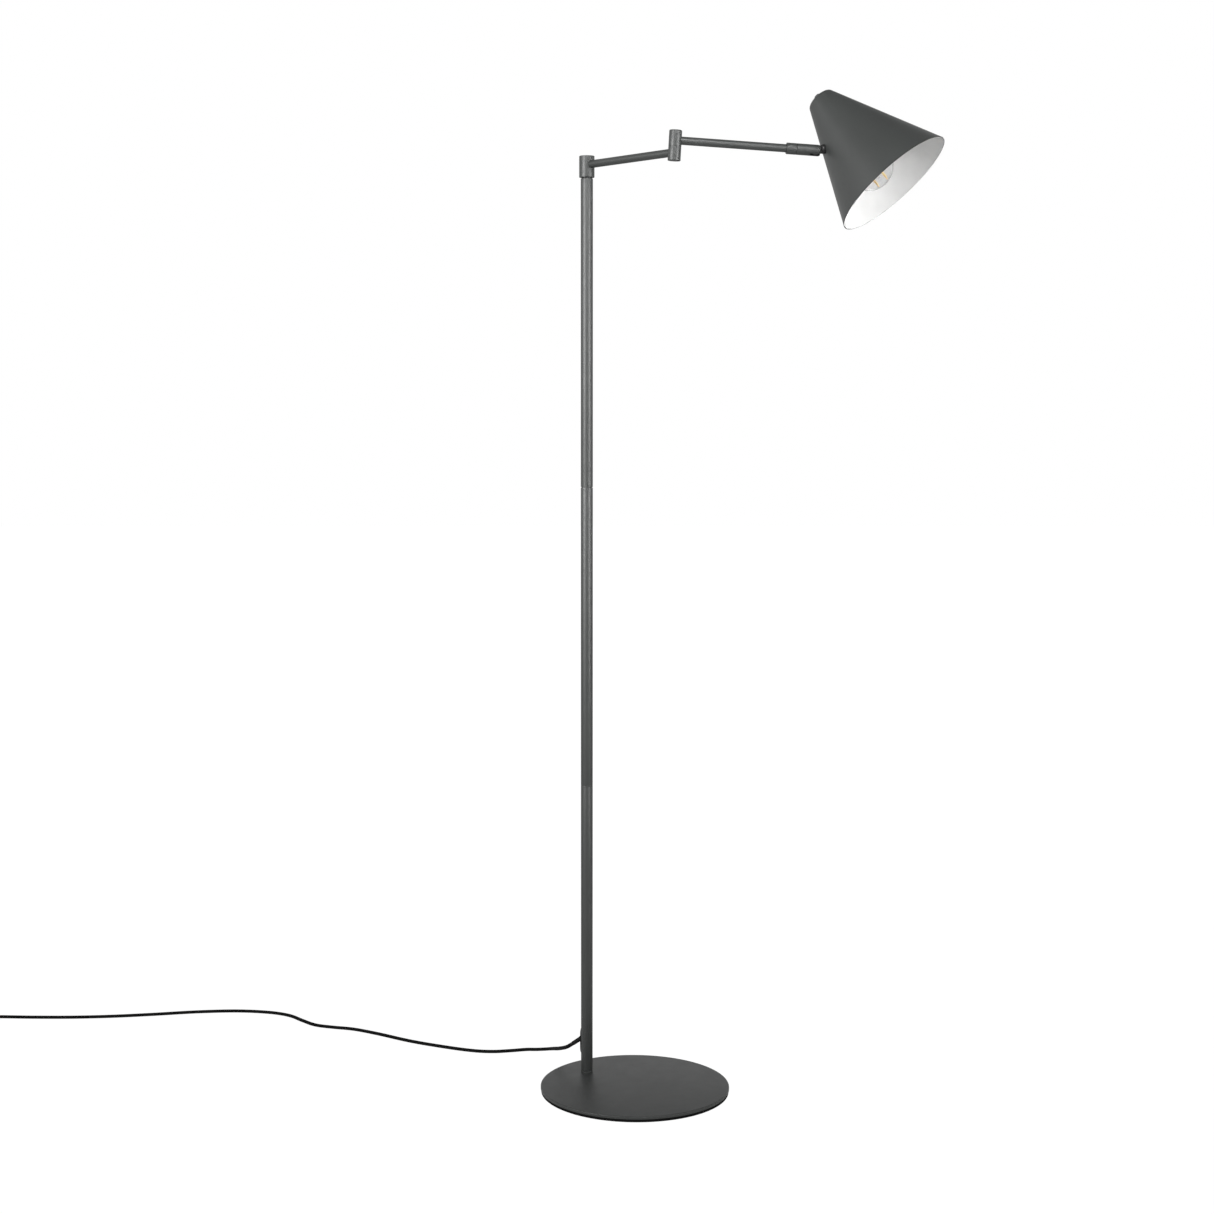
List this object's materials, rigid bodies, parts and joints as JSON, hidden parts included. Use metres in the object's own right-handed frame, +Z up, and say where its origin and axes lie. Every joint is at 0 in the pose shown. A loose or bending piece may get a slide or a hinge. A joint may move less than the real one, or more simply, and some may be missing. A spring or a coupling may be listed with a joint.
{
  "type": "floor reading lamp",
  "caption": "Floor-standing swing-arm reading lamp: round base, slim sectioned pole, folding level arms, a turning and tilting knuckle and a conical metal shade over a clear screw-in bulb.",
  "frame": {"origin": "centre of the base disc's underside, on the floor", "axes": "+Z up along the pole's direction; +X the way the head reaches at rest, seen from the front as right; +Y to the back, where the cord leaves"},
  "size_m": [1.4249, 0.5081, 1.3145],
  "materials": {
    "anthracite_paint": "fine-textured powder coat, satin, dark grey",
    "black_rubber": "matt black flexible plastic and rubber",
    "black_plastic": "moulded black plastic",
    "zinc_steel": "zinc-plated steel",
    "nickel": "nickel-plated brass",
    "clear_glass": "clear lamp glass",
    "filament_coating": "orange phosphor coating"
  },
  "bodies": {
    "stand": {"base_plate": "anthracite_paint", "base_pad": "black_rubber", "base_bolt": "zinc_steel", "base_washer": "zinc_steel", "foot_ring": "anthracite_paint", "pole_foot_plug": "zinc_steel", "pole_tube_lower": "anthracite_paint", "pole_tube_middle": "anthracite_paint", "pole_tube_upper": "anthracite_paint", "pole_coupler_lower": "zinc_steel", "pole_coupler_middle": "zinc_steel", "pole_top_plug": "zinc_steel", "swivel_stud": "zinc_steel", "swivel_washer": "black_plastic", "lead_in_pole": "black_rubber", "cord_grommet": "black_rubber", "cord_tube": "black_rubber", "cord_coil": "black_rubber", "plug_body": "black_rubber", "plug_pin_left": "nickel", "plug_pin_right": "nickel"},
    "lower_arm": {"swivel_collar": "anthracite_paint", "arm_tube_lower": "anthracite_paint", "lead_in_lower_arm": "black_rubber", "elbow_housing_lower": "anthracite_paint", "elbow_pin": "zinc_steel", "elbow_washer": "zinc_steel", "elbow_nut": "zinc_steel"},
    "upper_arm": {"elbow_housing_upper": "anthracite_paint", "elbow_cap": "anthracite_paint", "arm_tube_upper": "anthracite_paint", "knuckle_ring": "anthracite_paint", "lead_in_upper_arm": "black_rubber"},
    "knuckle": {"knuckle_body": "anthracite_paint", "tilt_pin": "anthracite_paint"},
    "head": {"tilt_tongue": "black_plastic", "neck_bush": "black_plastic", "neck_washer": "zinc_steel", "neck_nut": "zinc_steel", "lamp_bracket": "zinc_steel", "shade_shell": "anthracite_paint", "switch_nut": "zinc_steel", "switch_body": "black_plastic", "lead_in_head": "black_rubber", "lampholder_body": "black_plastic", "lampholder_nipple": "zinc_steel", "lampholder_nut": "zinc_steel", "bulb_cap": "nickel", "bulb_glass": "clear_glass", "filament_stem": "clear_glass", "filament_1": "filament_coating", "filament_2": "filament_coating", "filament_3": "filament_coating", "filament_4": "filament_coating"},
    "button": {"crown_button": "black_plastic"}
  },
  "joints": [
    {"name": "pole_swivel", "type": "hinge", "parent": "stand", "child": "lower_arm", "pos_m": [-0.065, 0.0515, 1.2318], "axis": [0, 0, 1], "range_deg": [-170, 170]},
    {"name": "elbow_swivel", "type": "hinge", "parent": "lower_arm", "child": "upper_arm", "pos_m": [0.04375, -0.08967, 1.23899], "axis": [0.0536, 0.0071, 0.9985], "range_deg": [-170, 50]},
    {"name": "knuckle_roll", "type": "hinge", "parent": "upper_arm", "child": "knuckle", "pos_m": [0.19561, -0.06967, 1.2381], "axis": [0.99, 0.1303, -0.0541], "range_deg": [-165, 165]},
    {"name": "head_tilt", "type": "hinge", "parent": "knuckle", "child": "head", "pos_m": [0.21997, -0.06647, 1.23677], "axis": [-0.1408, 0.888, -0.4377], "range_deg": [-45.5, 74.5]},
    {"name": "button_press", "type": "slide", "parent": "head", "child": "button", "axis": [0.617, -0.2671, -0.7403], "range_m": [0, 0.002], "stiffness_N_per_m": 500, "springref_m": -0.002}
  ]
}
